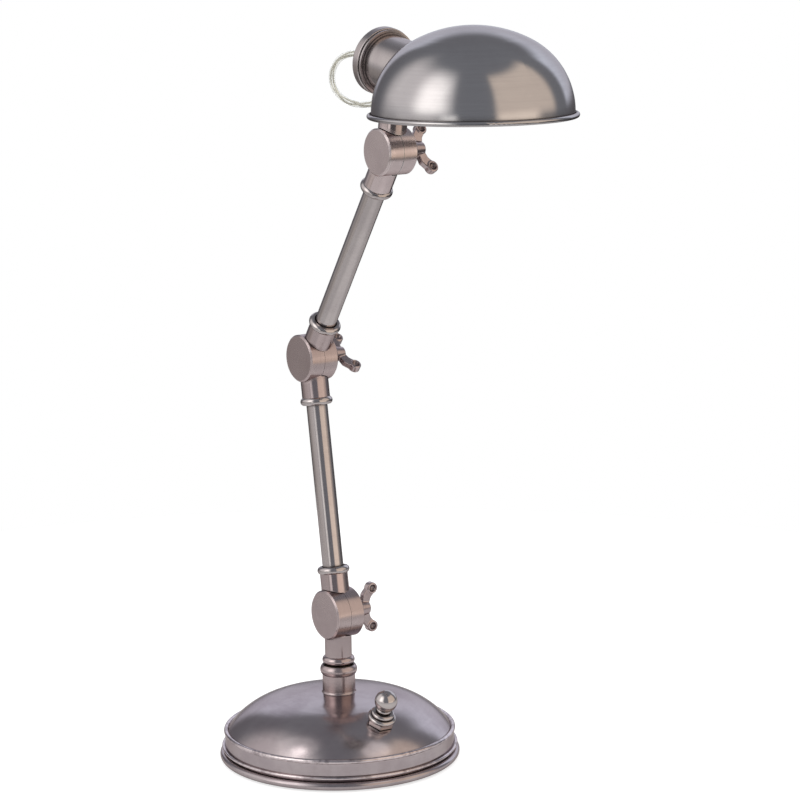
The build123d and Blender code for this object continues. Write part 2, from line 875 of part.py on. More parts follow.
# Head: planes along the socket cup's axis, which tips down towards the front
cup_root = wrist + lean_vector(cup_tilt_angle) * cup_rise
cup_along = lean_vector(cup_tilt_angle + 90)
cup_plane = Plane(origin=cup_root, x_dir=(0, 1, 0), z_dir=cup_along)
cup_profile = Plane(origin=cup_root, x_dir=cup_along, z_dir=(0, 1, 0))
cup_axis = Axis(cup_root, cup_along)
cup_bore = cup_radius - cup_wall
lip_front = cup_lip_length - cup_back
step_front = lip_front + cup_step_length
cap_front = -cup_back - cap_neck_length
cap_back = cap_front - cap_length
cap_crown = cap_back - cap_crown_rise


def head_point(ahead, above):
    """A point in the arms' plane, ahead of and above the wrist."""
    return wrist + Vector(ahead, 0, above)


lead_points = [head_point(ahead, above) for ahead, above in lead_route]
lead_exit = Plane(origin=cup_root + cup_along * cap_crown, x_dir=(0, 1, 0), z_dir=-cup_along)
lead_way = (lead_points[-1] - lead_points[-2]).normalized()
gate_share = (-stem_radius + lead_spot - (lead_points[-2] - wrist).dot(cup_along)) / (
    (lead_points[-1] - lead_points[-2]).dot(cup_along)
)
stem_gate = lead_points[-2] + (lead_points[-1] - lead_points[-2]) * gate_share
gate_plane = Plane(origin=stem_gate, x_dir=(0, 1, 0), z_dir=-lead_way)

stem_bore_floor = wrist_barrel_radius + saddle_gap + tube_wall
with BuildPart() as wrist_upper_knuckle:
    add(knuckle(wrist, wrist_barrel_radius, cup_tilt_angle, 1, stem_radius, cup_rise))
    with BuildSketch(cup_plane.offset(-stem_radius - overrun)):
        Circle(cup_radius)
    extrude(amount=2 * (stem_radius + overrun), mode=Mode.SUBTRACT)
    with BuildSketch(stalk_plane(wrist, cup_tilt_angle).offset(stem_bore_floor)):
        Circle(stem_bore)
    extrude(amount=stem_bore_reach - stem_bore_floor, mode=Mode.SUBTRACT)
    with BuildSketch(gate_plane):
        Circle(lead_flange)
    extrude(amount=2 * lead_flange_length, mode=Mode.SUBTRACT)
    with BuildSketch(gate_plane):
        Circle(lead_neck)
    extrude(amount=-lead_neck_length, mode=Mode.SUBTRACT)
keep("wrist_upper_knuckle", wrist_upper_knuckle.part)

with BuildPart() as socket_cup:
    with BuildSketch(cup_profile):
        with BuildLine():
            Polyline(
                (-cup_back, cup_bore),
                (-cup_back, cup_lip_radius),
                (lip_front, cup_lip_radius),
                (lip_front, cup_step_radius),
                (step_front, cup_step_radius),
                (step_front, cup_radius),
                (cup_front, cup_radius),
                (cup_front, cup_bore),
                close=True,
            )
        make_face()
    revolve(axis=cup_axis)
keep("socket_cup", socket_cup.part)

with BuildPart() as socket_cap:
    with BuildSketch(cup_profile):
        with BuildLine():
            Polyline(
                (cap_crown, lead_neck),
                (cap_crown, cap_crown_radius),
                (cap_back, cap_radius),
                (cap_front, cap_radius),
                (cap_front, cap_neck_radius),
                (-cup_back, cap_neck_radius),
                (-cup_back, cup_bore),
                (cap_spigot_length - cup_back, cup_bore),
                (cap_spigot_length - cup_back, cup_bore - cap_wall),
                (cap_crown + cap_wall, cup_bore - cap_wall),
                (cap_crown + cap_wall, lead_neck),
                close=True,
            )
        make_face()
    revolve(axis=cup_axis)
    outer_edges = [
        edge
        for edge in socket_cap.edges().filter_by(GeomType.CIRCLE)
        if abs(edge.radius - cap_radius) < running_gap
    ]
    fillet(outer_edges, cap_round)
keep("socket_cap", socket_cap.part)


def lead_bushing(plane, neck_length):
    """Flanged bushing round the lead, with its flange's seat on a plane."""
    with BuildPart() as bushing:
        with BuildSketch(plane):
            Circle(lead_flange)
        extrude(amount=lead_flange_length)
        with BuildSketch(plane):
            Circle(lead_neck)
        extrude(amount=-neck_length)
        with BuildSketch(plane.offset(lead_flange_length)):
            Circle(lead_radius)
        extrude(amount=-(lead_flange_length + neck_length), mode=Mode.SUBTRACT)
    return bushing.part


keep("cap_bushing", lead_bushing(lead_exit, cap_wall))
keep("stem_bushing", lead_bushing(gate_plane, lead_neck_length))

# Looped lead: straight runs with an arc at each point, as large as the runs allow
lead_runs = [after - before for before, after in zip(lead_points, lead_points[1:])]
lead_radii = []
for before, after in zip(lead_runs, lead_runs[1:]):
    half_turn = radians(before.get_angle(after)) / 2
    lead_radii.append(lead_bend_share * min(before.length, after.length) / tan(half_turn))
print("head lead radii", [round(radius, 1) for radius in lead_radii])
with BuildPart() as head_lead:
    with BuildLine() as lead_path:
        FilletPolyline(*lead_points, radius=lead_radii)
    with BuildSketch(Plane(origin=lead_points[0], x_dir=(0, 1, 0), z_dir=lead_runs[0])):
        Circle(lead_radius)
    sweep()
print("head lead length", round(sum(edge.length for edge in lead_path.edges()), 1))
keep("head_lead", head_lead.part)

# Lamp socket: insulator, screw shell and centre contact
floor = socket_back + socket_floor
socket_front = socket_back + socket_length
with BuildPart() as socket_body:
    with BuildSketch(cup_plane.offset(socket_back)):
        Circle(cup_bore)
    extrude(amount=socket_length)
    with BuildSketch(cup_plane.offset(floor)):
        Circle(shell_radius)
    extrude(amount=socket_length, mode=Mode.SUBTRACT)
keep("socket_body", socket_body.part)
keep(
    "screw_shell",
    tube(cup_plane.offset(floor), shell_inside, shell_radius, socket_front - floor),
)
with BuildPart() as centre_contact:
    with BuildSketch(cup_plane.offset(floor)):
        Circle(contact_radius)
    extrude(amount=contact_height)
keep("centre_contact", centre_contact.part)

# Lamp: metal cap and a hollow tubular glass
lamp_tip = floor + contact_height
lamp_shoulder = lamp_tip + lamp_cap_shoulder
lamp_end = socket_front + lamp_length
lamp_cap_radius = shell_inside - running_gap
neck_radius = lamp_cap_radius - lamp_cap_wall
with BuildPart() as lamp_cap:
    with BuildSketch(cup_profile):
        with BuildLine():
            Polyline(
                (lamp_tip, 0),
                (lamp_tip, contact_radius),
                (lamp_shoulder, lamp_cap_radius),
                (socket_front, lamp_cap_radius),
                (socket_front, neck_radius),
                (lamp_shoulder, neck_radius),
                (lamp_shoulder, 0),
                close=True,
            )
        make_face()
    revolve(axis=cup_axis)
keep("lamp_cap", lamp_cap.part)

with BuildPart() as lamp_glass:
    with BuildSketch(cup_profile):
        with BuildLine():
            round_start = lamp_end - lamp_radius
            Polyline(
                (round_start, lamp_radius),
                (socket_front + lamp_flare, lamp_radius),
                (socket_front, neck_radius),
                (socket_front - lamp_neck_sink, neck_radius),
                (socket_front - lamp_neck_sink, neck_radius - lamp_wall),
                (socket_front, neck_radius - lamp_wall),
                (socket_front + lamp_flare, lamp_radius - lamp_wall),
                (round_start, lamp_radius - lamp_wall),
            )
            CenterArc((round_start, 0), lamp_radius - lamp_wall, 0, 90)
            Line((lamp_end - lamp_wall, 0), (lamp_end, 0))
            CenterArc((round_start, 0), lamp_radius, 0, 90)
        make_face()
    revolve(axis=cup_axis)
keep("lamp_glass", lamp_glass.part)

# Shade: a skirt, a shoulder arc and a crown arc, turned about an upright axis
shade_ahead = shade_back + shade_radius
shade_centre = head_point(shade_ahead, shade_above)
shade_profile = Plane(origin=shade_centre, x_dir=(1, 0, 0), z_dir=(0, -1, 0))
shade_axis = Axis(shade_centre, (0, 0, 1))
arch = min(shade_height - shade_skirt, shade_arch_share * shade_radius)
skirt_top = shade_height - arch
shoulder_radius = shoulder_share * min(shade_radius, arch)
shoulder_middle = shade_radius - shoulder_radius
crown_radius = (shoulder_middle**2 + arch**2 - shoulder_radius**2) / (2 * (arch - shoulder_radius))
crown_middle = shade_height - crown_radius
meet_angle = degrees(atan2(skirt_top - crown_middle, shoulder_middle))
rim_middle = shade_radius + rim_overhang - rim_bead


def shade_volume(inset):
    """The shade's outer dome, or one set in from it, as a solid."""
    with BuildPart() as dome:
        with BuildSketch(shade_profile):
            with BuildLine():
                Polyline(
                    (0, shade_height - inset),
                    (0, 0),
                    (shade_radius - inset, 0),
                    (shade_radius - inset, skirt_top),
                )
                CenterArc((shoulder_middle, skirt_top), shoulder_radius - inset, 0, meet_angle)
                CenterArc((0, crown_middle), crown_radius - inset, meet_angle, 90 - meet_angle)
            make_face()
        revolve(axis=shade_axis)
    return dome.part


shade_inside = shade_volume(shade_wall)
with BuildPart() as shade:
    add(shade_volume(0))
    with BuildSketch(shade_profile):
        with Locations((rim_middle, rim_bead / 2)):
            Circle(rim_bead)
    revolve(axis=shade_axis)
    add(shade_inside, mode=Mode.SUBTRACT)
    with BuildSketch(shade_profile):
        with Locations(((shade_radius - shade_wall) / 2, -rim_bead)):
            Rectangle(shade_radius - shade_wall, 2 * rim_bead)
    revolve(axis=shade_axis, mode=Mode.SUBTRACT)
    with BuildSketch(cup_plane):
        Circle(cup_radius)
    extrude(amount=cup_front + overrun, mode=Mode.SUBTRACT)
keep("shade", shade.part)

with BuildPart() as shade_ring:
    with BuildSketch(cup_plane):
        Circle(cup_radius + shade_ring_width)
        Circle(cup_radius, mode=Mode.SUBTRACT)
    extrude(amount=cup_front - shade_ring_width)
    add(shade_inside, mode=Mode.INTERSECT)
keep("shade_ring", shade_ring.part)
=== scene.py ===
import json
import math

import bpy
from mathutils import Matrix, Vector


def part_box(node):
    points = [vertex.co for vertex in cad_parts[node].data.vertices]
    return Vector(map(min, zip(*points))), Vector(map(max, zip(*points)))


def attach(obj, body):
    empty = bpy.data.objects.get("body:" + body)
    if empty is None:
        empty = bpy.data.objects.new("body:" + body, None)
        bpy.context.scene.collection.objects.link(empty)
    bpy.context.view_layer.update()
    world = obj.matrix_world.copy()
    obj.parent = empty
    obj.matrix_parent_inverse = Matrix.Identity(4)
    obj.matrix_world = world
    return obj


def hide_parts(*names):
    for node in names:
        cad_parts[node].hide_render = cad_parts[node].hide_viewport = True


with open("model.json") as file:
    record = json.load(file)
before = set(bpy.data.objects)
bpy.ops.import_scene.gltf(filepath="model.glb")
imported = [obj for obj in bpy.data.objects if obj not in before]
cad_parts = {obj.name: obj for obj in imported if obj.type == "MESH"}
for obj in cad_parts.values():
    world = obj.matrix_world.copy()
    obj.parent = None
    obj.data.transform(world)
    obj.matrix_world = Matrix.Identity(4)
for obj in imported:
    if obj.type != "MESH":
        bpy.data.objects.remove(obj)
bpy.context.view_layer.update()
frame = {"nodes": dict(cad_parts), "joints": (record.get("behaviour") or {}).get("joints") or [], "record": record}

nodes = frame["nodes"]
joint_at = {joint["name"]: Vector(joint["pos_m"]) for joint in frame["joints"]}
shoulder = joint_at["shoulder_tilt"]
elbow = joint_at["elbow_tilt"]
wrist = joint_at["wrist_tilt"]
switch = joint_at["switch_turn"]
UP = Vector((0, 0, 1))
SIDE = Vector((0, 1, 0))
BODY_OF = {
    node: body for body, members in frame["record"]["behaviour"]["bodies"].items() for node in members
}
SLOT_OF = {part["node"]: part["material_slot"] for part in frame["record"]["subparts"]}


def add(name, data):
    """Put a new object in the scene."""
    made = bpy.data.objects.new(name, data)
    bpy.context.scene.collection.objects.link(made)
    return made


# Camera: azimuth and elevation of the photograph's view, its distance, focal length and target
AZIMUTH = math.radians(55.08)
ELEVATION = math.radians(10.77)
ROLL = math.radians(-0.7)
DISTANCE = 1.88709
SENSOR = 36.0
LENS = 126.01
FARTHEST = 200.0
TARGET_RIGHT = 0.04432
TARGET_HEIGHT = 0.24852

back = Vector((
    math.sin(AZIMUTH) * math.cos(ELEVATION),
    -math.cos(AZIMUTH) * math.cos(ELEVATION),
    math.sin(ELEVATION),
))
right = Vector((math.cos(AZIMUTH), math.sin(AZIMUTH), 0))
level_back = Vector((math.sin(AZIMUTH), -math.cos(AZIMUTH), 0))
above = back.cross(right)
target = UP * TARGET_HEIGHT + right * TARGET_RIGHT
rolled_right = right * math.cos(ROLL) + above * math.sin(ROLL)
rolled_up = above * math.cos(ROLL) - right * math.sin(ROLL)
camera_data = bpy.data.cameras.new("camera")
camera_data.sensor_width = SENSOR
camera_data.lens = LENS
camera_data.clip_end = FARTHEST
camera = add("camera", camera_data)
camera_turn = Matrix((rolled_right, rolled_up, back)).transposed().to_4x4()
camera.matrix_world = Matrix.Translation(target + back * DISTANCE) @ camera_turn
bpy.context.scene.camera = camera
bpy.context.scene.view_settings.view_transform = "Standard"


# Node helpers
def make(tree, kind, inputs=None, **settings):
    """Add a node, set its properties, and fill or link its inputs."""
    made = tree.nodes.new(kind)
    for name, value in settings.items():
        setattr(made, name, value)
    for key, value in (inputs or {}).items():
        if isinstance(value, bpy.types.NodeSocket):
            tree.links.new(value, made.inputs[key])
        else:
            made.inputs[key].default_value = value
    return made


def maths(tree, operation, *values, clamp=False):
    made = make(tree, "ShaderNodeMath", dict(enumerate(values)), operation=operation)
    made.use_clamp = clamp
    return made.outputs[0]


def vectors(tree, operation, *values):
    made = make(tree, "ShaderNodeVectorMath", dict(enumerate(values)), operation=operation)
    return made.outputs["Value" if operation in ("DOT_PRODUCT", "LENGTH") else "Vector"]


def stretch(tree, vector, scale):
    made = make(tree, "ShaderNodeVectorMath", {"Vector": vector, "Scale": scale}, operation="SCALE")
    return made.outputs["Vector"]


def ramp(tree, value, low, high, start=0.0, end=1.0):
    """Smooth step of a value from low to high."""
    settings = {"Value": value, "From Min": low, "From Max": high, "To Min": start, "To Max": end}
    made = make(tree, "ShaderNodeMapRange", settings, interpolation_type="SMOOTHSTEP")
    return made.outputs["Result"]


def soft_band(tree, value, low, high, low_soft, high_soft):
    """One between low and high, zero outside, with soft ends."""
    rise = ramp(tree, value, low - low_soft, low + low_soft)
    fall = ramp(tree, value, high - high_soft, high + high_soft, 1.0, 0.0)
    return maths(tree, "MULTIPLY", rise, fall)


def mix(tree, factor, first, second, blend="MIX"):
    made = make(tree, "ShaderNodeMix", data_type="RGBA", blend_type=blend)
    for socket, value in ((made.inputs[0], factor), (made.inputs[6], first), (made.inputs[7], second)):
        if isinstance(value, bpy.types.NodeSocket):
            tree.links.new(value, socket)
        else:
            socket.default_value = value if isinstance(value, (int, float)) else (*value, 1.0)
    return made.outputs[2]


def noise(tree, place, scale, detail=3.0, roughness=0.5, w=None):
    inputs = {"Vector": place, "Scale": scale, "Detail": detail, "Roughness": roughness}
    if w is not None:
        inputs["W"] = w
    made = make(tree, "ShaderNodeTexNoise", inputs, noise_dimensions="3D" if w is None else "4D")
    return made.outputs["Fac"]


def new_material(name):
    material = bpy.data.materials.new(name)
    material.use_nodes = True
    return material, material.node_tree, material.node_tree.nodes["Principled BSDF"]


# Room that the metal reflects, by degrees round from the camera and degrees up; the camera sees it as white
ROOM = (0.225, 0.236, 0.262)
LOW_ROOM = (0.08, 0.08, 0.083)
LOW_ROOM_FADE = (-12, 2)
BACK_WALL = (0.67, 0.73, 0.85)
BACK_WALL_TURN = 167.0
BACK_WALL_FADE = (34, 42)
BACK_WALL_HEIGHT = (2, 38, 4, 8)
FULL_TURN = 360.0
BLACK = (0, 0, 0)
WHITE = (1, 1, 1, 1)
BOXES = (
    # colour, strength, both sides and their softness, both ends and their softness
    ((1.0, 0.985, 0.95), 0.98, (-71, -31, 12, 13), (4, 50, 8, 20)),
    ((1.0, 0.985, 0.95), 0.95, (-38, -20, 6, 4), (-20, 1, 6, 5)),
    ((1.0, 0.96, 0.92), 0.4, (-118, -30, 14, 9), (4, 54, 8, 12)),
    ((1.0, 0.95, 0.91), 0.26, (-126, -44, 12, 10), (-35, 58, 12, 12)),
    ((1.0, 0.96, 0.93), 0.2, (-98, -42, 10, 8), (-26, 2, 6, 6)),
    ((1.0, 0.8, 0.6), 0.58, (24, 104, 4, 6), (0, 56, 6, 6)),
    ((1.0, 0.84, 0.68), 0.85, (26, 78, 5, 8), (-22, 2, 6, 6)),
    ((1.0, 0.95, 0.9), 0.06, (-176, -112, 3, 12), (-30, -3, 8, 4)),
)
world = bpy.data.worlds.new("studio")
world.use_nodes = True
bpy.context.scene.world = world
tree = world.node_tree
tree.nodes.clear()
ray_way = make(tree, "ShaderNodeTexCoord").outputs["Generated"]
to_right = vectors(tree, "DOT_PRODUCT", ray_way, right)
to_camera = vectors(tree, "DOT_PRODUCT", ray_way, level_back)
to_up = vectors(tree, "DOT_PRODUCT", ray_way, UP)
around = maths(tree, "DEGREES", maths(tree, "ARCTAN2", to_right, to_camera))
height = maths(tree, "DEGREES", maths(tree, "ARCSINE", to_up))
light = mix(tree, ramp(tree, height, *LOW_ROOM_FADE), LOW_ROOM, ROOM)
for colour, strength, sides, ends in BOXES:
    mask = maths(tree, "MULTIPLY", soft_band(tree, around, *sides), soft_band(tree, height, *ends))
    shine = mix(tree, mask, BLACK, tuple(strength * part for part in colour))
    light = mix(tree, 1.0, light, shine, "ADD")
whole_turn = maths(tree, "MODULO", maths(tree, "ADD", around, FULL_TURN), FULL_TURN)
from_wall = maths(tree, "ABSOLUTE", maths(tree, "SUBTRACT", whole_turn, BACK_WALL_TURN))
wall_mask = maths(
    tree, "MULTIPLY",
    ramp(tree, from_wall, *BACK_WALL_FADE, 1.0, 0.0), soft_band(tree, height, *BACK_WALL_HEIGHT),
)
light = mix(tree, 1.0, light, mix(tree, wall_mask, BLACK, BACK_WALL), "ADD")
rays = make(tree, "ShaderNodeLightPath")
seen = maths(tree, "MAXIMUM", rays.outputs["Is Camera Ray"], rays.outputs["Is Transmission Ray"])
room = make(tree, "ShaderNodeBackground", {"Color": light, "Strength": 1.0})
white = make(tree, "ShaderNodeBackground", {"Color": WHITE, "Strength": 1.0})
both = make(tree, "ShaderNodeMixShader", {0: seen, 1: room.outputs[0], 2: white.outputs[0]})
make(tree, "ShaderNodeOutputWorld", {"Surface": both.outputs[0]})

# Floor: lifted to white for the camera, and a little for the metal that stands close to it
FLOOR_RADIUS = 0.75
FLOOR_SIDES = 128
FLOOR_TONES = ((0.5, 0.5, 0.5), (0.54, 0.54, 0.54))
FLOOR_GRAIN = 9.0
FLOOR_LIFT = 0.68
FLOOR_POOL = 0.16
FLOOR_POOL_FADE = (0.19, 0.3)
floor_mesh = bpy.data.meshes.new("floor")
spokes = [2 * math.pi * step / FLOOR_SIDES for step in range(FLOOR_SIDES)]
corners = [(FLOOR_RADIUS * math.cos(spoke), FLOOR_RADIUS * math.sin(spoke), 0) for spoke in spokes]
floor_mesh.from_pydata(corners, [], [range(FLOOR_SIDES)])
floor = add("floor", floor_mesh)
material, tree, shader = new_material("floor")
place = make(tree, "ShaderNodeTexCoord").outputs["Object"]
tree.links.new(mix(tree, noise(tree, place, FLOOR_GRAIN), *FLOOR_TONES), shader.inputs["Base Color"])
shader.inputs["Roughness"].default_value = 0.9
shader.inputs["Specular IOR Level"].default_value = 0.1
rays = make(tree, "ShaderNodeLightPath")
seen = maths(tree, "MAXIMUM", rays.outputs["Is Camera Ray"], rays.outputs["Is Transmission Ray"])
pool = ramp(tree, vectors(tree, "LENGTH", place), *FLOOR_POOL_FADE, FLOOR_POOL, 0.0)
mirrored = maths(tree, "MULTIPLY", rays.outputs["Is Glossy Ray"], pool)
lift = maths(tree, "ADD", maths(tree, "MULTIPLY", seen, FLOOR_LIFT), mirrored)
shader.inputs["Emission Color"].default_value = WHITE
tree.links.new(lift, shader.inputs["Emission Strength"])
floor_mesh.materials.append(material)

# Wide light from above, for the floor and the shadow
DAYLIGHT = 1.8
DAYLIGHT_SPREAD = math.radians(110)
daylight = bpy.data.lights.new("overhead", "SUN")
daylight.energy = DAYLIGHT
daylight.angle = DAYLIGHT_SPREAD
overhead = add("overhead", daylight)
overhead.visible_glossy = False

# Lamps that only the base catches: degrees round from the camera, degrees up, width, power, colour
LAMP_DISTANCE = 1.5
LAMPS = (
    (-62, 58, 0.3, 0.38, (1.0, 0.98, 0.95)),
    (-74, 60, 0.8, 0.55, (1.0, 0.98, 0.95)),
    (60, 61, 0.6, 0.6, (1.0, 0.95, 0.9)),
)
base_only = bpy.data.collections.new("base_only")
base_only.objects.link(nodes["base_shell"])
for number, (degrees_round, degrees_up, width, power, colour) in enumerate(LAMPS):
    swing, lift_angle = math.radians(degrees_round), math.radians(degrees_up)
    level_way = level_back * math.cos(swing) + right * math.sin(swing)
    lamp_way = level_way * math.cos(lift_angle) + UP * math.sin(lift_angle)
    panel = bpy.data.lights.new(f"glow_{number}", "AREA")
    panel.shape = "DISK"
    panel.size = width
    panel.energy = power
    panel.color = colour
    lamp = add(panel.name, panel)
    lamp.location = lamp_way * LAMP_DISTANCE
    lamp.rotation_euler = lamp_way.to_track_quat("Z", "Y").to_euler()
    lamp.visible_camera = False
    lamp.light_linking.receiver_collection = base_only

# Aged nickel: brush lines and specks, dashed glint rings and scuffed edges lightened as painted highlights,
# polished necks, and painted shade with tarnish in recesses
BRUSH_SCALE = 900.0
SPOKE_SCALE = 1.4
SPECK_SCALE = 1400.0
GLINT_DASH_SCALE = 120.0
EDGE_REACH = 0.0007
GLINT_RING_FADE = (0.00004, 0.00012)
NECK_POLISH = 0.14
NECK_FADE = 0.0008
# Near-black tone and share of the painted shade in recesses
RECESS_SHADE_TONE = (0.025, 0.021, 0.019)
RECESS_SHADE_SHARE = 0.92
DULL_SHARES = (0.68, 0.64, 0.67)
# Lightening of the painted highlights on scuffed edges and glint rings
SHINE_SHARE = 1.5
SPECK_SHARE = 0.35
EDGE_TINT = (0.62, 0.57, 0.56, 1.0)
BRUSH_TURN = 0.25
RELIEF_STRENGTH = 0.22
RELIEF_DEPTH = 0.00006


def nickel(
    name, origin, axis, tone, rough, cloud=0.5, lines=0.5, aniso=0.3,
    cloud_scale=38.0, shade_reach=0.0035, neck=None, glint_rings=(), wear_glint_share=0.8,
):
    """Aged nickel, brushed round an axis, with patina, painted shade with tarnish in recesses, scuffed edges
    lightened as painted highlights, and polished necks.
    """
    material, tree, shader = new_material(name)
    axis = Vector(axis).normalized()
    place = make(tree, "ShaderNodeTexCoord").outputs["Object"]
    offset = vectors(tree, "SUBTRACT", place, Vector(origin))
    along = vectors(tree, "DOT_PRODUCT", offset, axis)
    outward = vectors(tree, "SUBTRACT", offset, stretch(tree, axis, along))
    radius = vectors(tree, "LENGTH", outward)
    spoke = vectors(tree, "NORMALIZE", outward)
    lines_along = stretch(tree, axis, maths(tree, "MULTIPLY", along, BRUSH_SCALE))
    ring = vectors(tree, "ADD", stretch(tree, spoke, SPOKE_SCALE), lines_along)
    brush = noise(tree, ring, 1.0, 4.0, 0.65, maths(tree, "MULTIPLY", radius, BRUSH_SCALE))
    clouds = noise(tree, place, cloud_scale, 5.0, 0.6)
    specks = noise(tree, place, SPECK_SCALE, 2.0, 0.6)

    shading = make(tree, "ShaderNodeNewGeometry").outputs["Normal"]
    rounded = make(tree, "ShaderNodeBevel", {"Radius": EDGE_REACH}, samples=4).outputs["Normal"]
    sharp = maths(tree, "SUBTRACT", 1.0, vectors(tree, "DOT_PRODUCT", shading, rounded))
    # Painted shade: ambient occlusion darkens the colour toward a near-black tone in recesses; it stands also for
    # tarnish there, which is rougher
    hidden = make(tree, "ShaderNodeAmbientOcclusion", {"Distance": shade_reach}, samples=8).outputs["AO"]
    recess_shade_and_tarnish = ramp(tree, hidden, 0.38, 0.86, 1.0, 0.0)
    # Painted highlight: sharp edges outside recesses are lightened toward a brighter tone, standing both for
    # scuffs and for the glints such edges catch
    wear_and_glint = maths(tree, "MULTIPLY", ramp(tree, sharp, 0.01, 0.12), ramp(tree, hidden, 0.55, 0.9))
    # Painted glints: the listed rings are lightened as well, broken into dashes by noise, and stand also for
    # scuffs
    for ring_radius, ring_height, ring_round in glint_rings:
        gap = maths(tree, "POWER", maths(tree, "SUBTRACT", radius, ring_radius), 2.0)
        rise = maths(tree, "POWER", maths(tree, "SUBTRACT", along, ring_height), 2.0)
        reach = maths(tree, "SQRT", maths(tree, "ADD", gap, rise))
        bead_glint = ramp(tree, reach, ring_round + GLINT_RING_FADE[0], ring_round + GLINT_RING_FADE[1], 1.0, 0.0)
        glint_dashes = ramp(tree, noise(tree, place, GLINT_DASH_SCALE, 4.0, 0.7), 0.38, 0.56)
        wear_and_glint = maths(tree, "MAXIMUM", wear_and_glint, maths(tree, "MULTIPLY", bead_glint, glint_dashes))

    dull = tuple(part * share for part, share in zip(tone, DULL_SHARES))
    shine = tuple(min(1.0, part * SHINE_SHARE) for part in tone)
    colour = mix(tree, ramp(tree, clouds, 0.35, 0.72, 0.0, cloud), tone, dull)
    colour = mix(tree, ramp(tree, brush, 0.3, 0.75, 0.0, 0.35 * lines), colour, dull)
    colour = mix(tree, maths(tree, "MULTIPLY", recess_shade_and_tarnish, RECESS_SHADE_SHARE), colour, RECESS_SHADE_TONE)
    colour = mix(tree, maths(tree, "MULTIPLY", wear_and_glint, wear_glint_share), colour, shine)
    tree.links.new(colour, shader.inputs["Base Color"])
    shader.inputs["Metallic"].default_value = 1.0
    change = maths(tree, "MULTIPLY", maths(tree, "SUBTRACT", clouds, 0.5), 0.16)
    brushed = maths(tree, "MULTIPLY", maths(tree, "SUBTRACT", brush, 0.5), 0.14 * lines)
    change = maths(tree, "ADD", change, brushed)
    change = maths(tree, "ADD", change, maths(tree, "MULTIPLY", recess_shade_and_tarnish, 0.3))
    if neck:
        rough = ramp(tree, radius, neck, neck + NECK_FADE, rough, NECK_POLISH)
    tree.links.new(maths(tree, "ADD", change, rough, clamp=True), shader.inputs["Roughness"])
    shader.inputs["Specular Tint"].default_value = EDGE_TINT
    shader.inputs["Anisotropic"].default_value = aniso
    shader.inputs["Anisotropic Rotation"].default_value = BRUSH_TURN
    tangent = vectors(tree, "CROSS_PRODUCT", axis, spoke)
    moved = make(
        tree, "ShaderNodeVectorTransform", {"Vector": tangent},
        vector_type="VECTOR", convert_from="OBJECT", convert_to="WORLD",
    )
    tree.links.new(moved.outputs[0], shader.inputs["Tangent"])
    grain = maths(tree, "MULTIPLY", specks, SPECK_SHARE)
    relief = maths(tree, "ADD", maths(tree, "MULTIPLY", brush, lines), grain)
    bump = make(
        tree, "ShaderNodeBump", {"Height": relief, "Strength": RELIEF_STRENGTH, "Distance": RELIEF_DEPTH}
    )
    tree.links.new(bump.outputs["Normal"], shader.inputs["Normal"])
    return material


def plain(name, colour, second, rough, scale=120.0, metallic=0.0, bump=0.2, relief=0.0001, **settings):
    """A material with two mixed tones, uneven roughness and a fine relief."""
    material, tree, shader = new_material(name)
    place = make(tree, "ShaderNodeTexCoord").outputs["Object"]
    clouds = noise(tree, place, scale, 4.0, 0.6)
    fine = noise(tree, place, scale * 14, 2.0, 0.6)
    tree.links.new(mix(tree, ramp(tree, clouds, 0.3, 0.7), colour, second), shader.inputs["Base Color"])
    uneven = ramp(tree, fine, 0.2, 0.8, rough * 0.8, min(1.0, rough * 1.2))
    tree.links.new(uneven, shader.inputs["Roughness"])
    shader.inputs["Metallic"].default_value = metallic
    for key, value in settings.items():
        shader.inputs[key.replace("_", " ")].default_value = value
    surface = maths(tree, "ADD", fine, clouds)
    bumped = make(tree, "ShaderNodeBump", {"Height": surface, "Strength": bump, "Distance": relief})
    tree.links.new(bumped.outputs["Normal"], shader.inputs["Normal"])
    return material


# Axes that the pieces are brushed round, and the tones of their nickel
LOWER_WAY = (elbow - shoulder).normalized()
UPPER_WAY = (wrist - elbow).normalized()
CUP_TILT = math.radians(9.1)
CUP_RISE = 0.0556
CUP_WAY = Vector((math.cos(CUP_TILT), 0, -math.sin(CUP_TILT)))
STEM_WAY = Vector((math.sin(CUP_TILT), 0, math.cos(CUP_TILT)))
CUP_ROOT = wrist + STEM_WAY * CUP_RISE
shade_low, shade_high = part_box("shade")
SHADE_MIDDLE = (shade_low + shade_high) / 2
SWITCH_WAY = Vector(next(joint["axis"] for joint in frame["joints"] if joint["name"] == "switch_turn"))
BASE_MIDDLE = (0, 0, 0)
NICKEL = (0.6, 0.55, 0.538)
COOL = (0.55, 0.487, 0.492)
WARM = (0.56, 0.468, 0.462)
GREY = (0.59, 0.567, 0.564)
# Painted light: the wrist's nickel is a lightened copy of the warm tone, for the brighter light that falls on the
# wrist
LIT_WRIST_TONE = (0.76, 0.65, 0.64)

# Distance from a joint's axis at which its necks begin
NECK = 0.0174

# Painted glint rings, standing also for scuffs, on the ridge and lip of the base: distance from the axis, height
# and round
BEAD_GLINTS = ((0.078, 0.01992, 0.0016), (0.08, 0.00904, 0.0011))

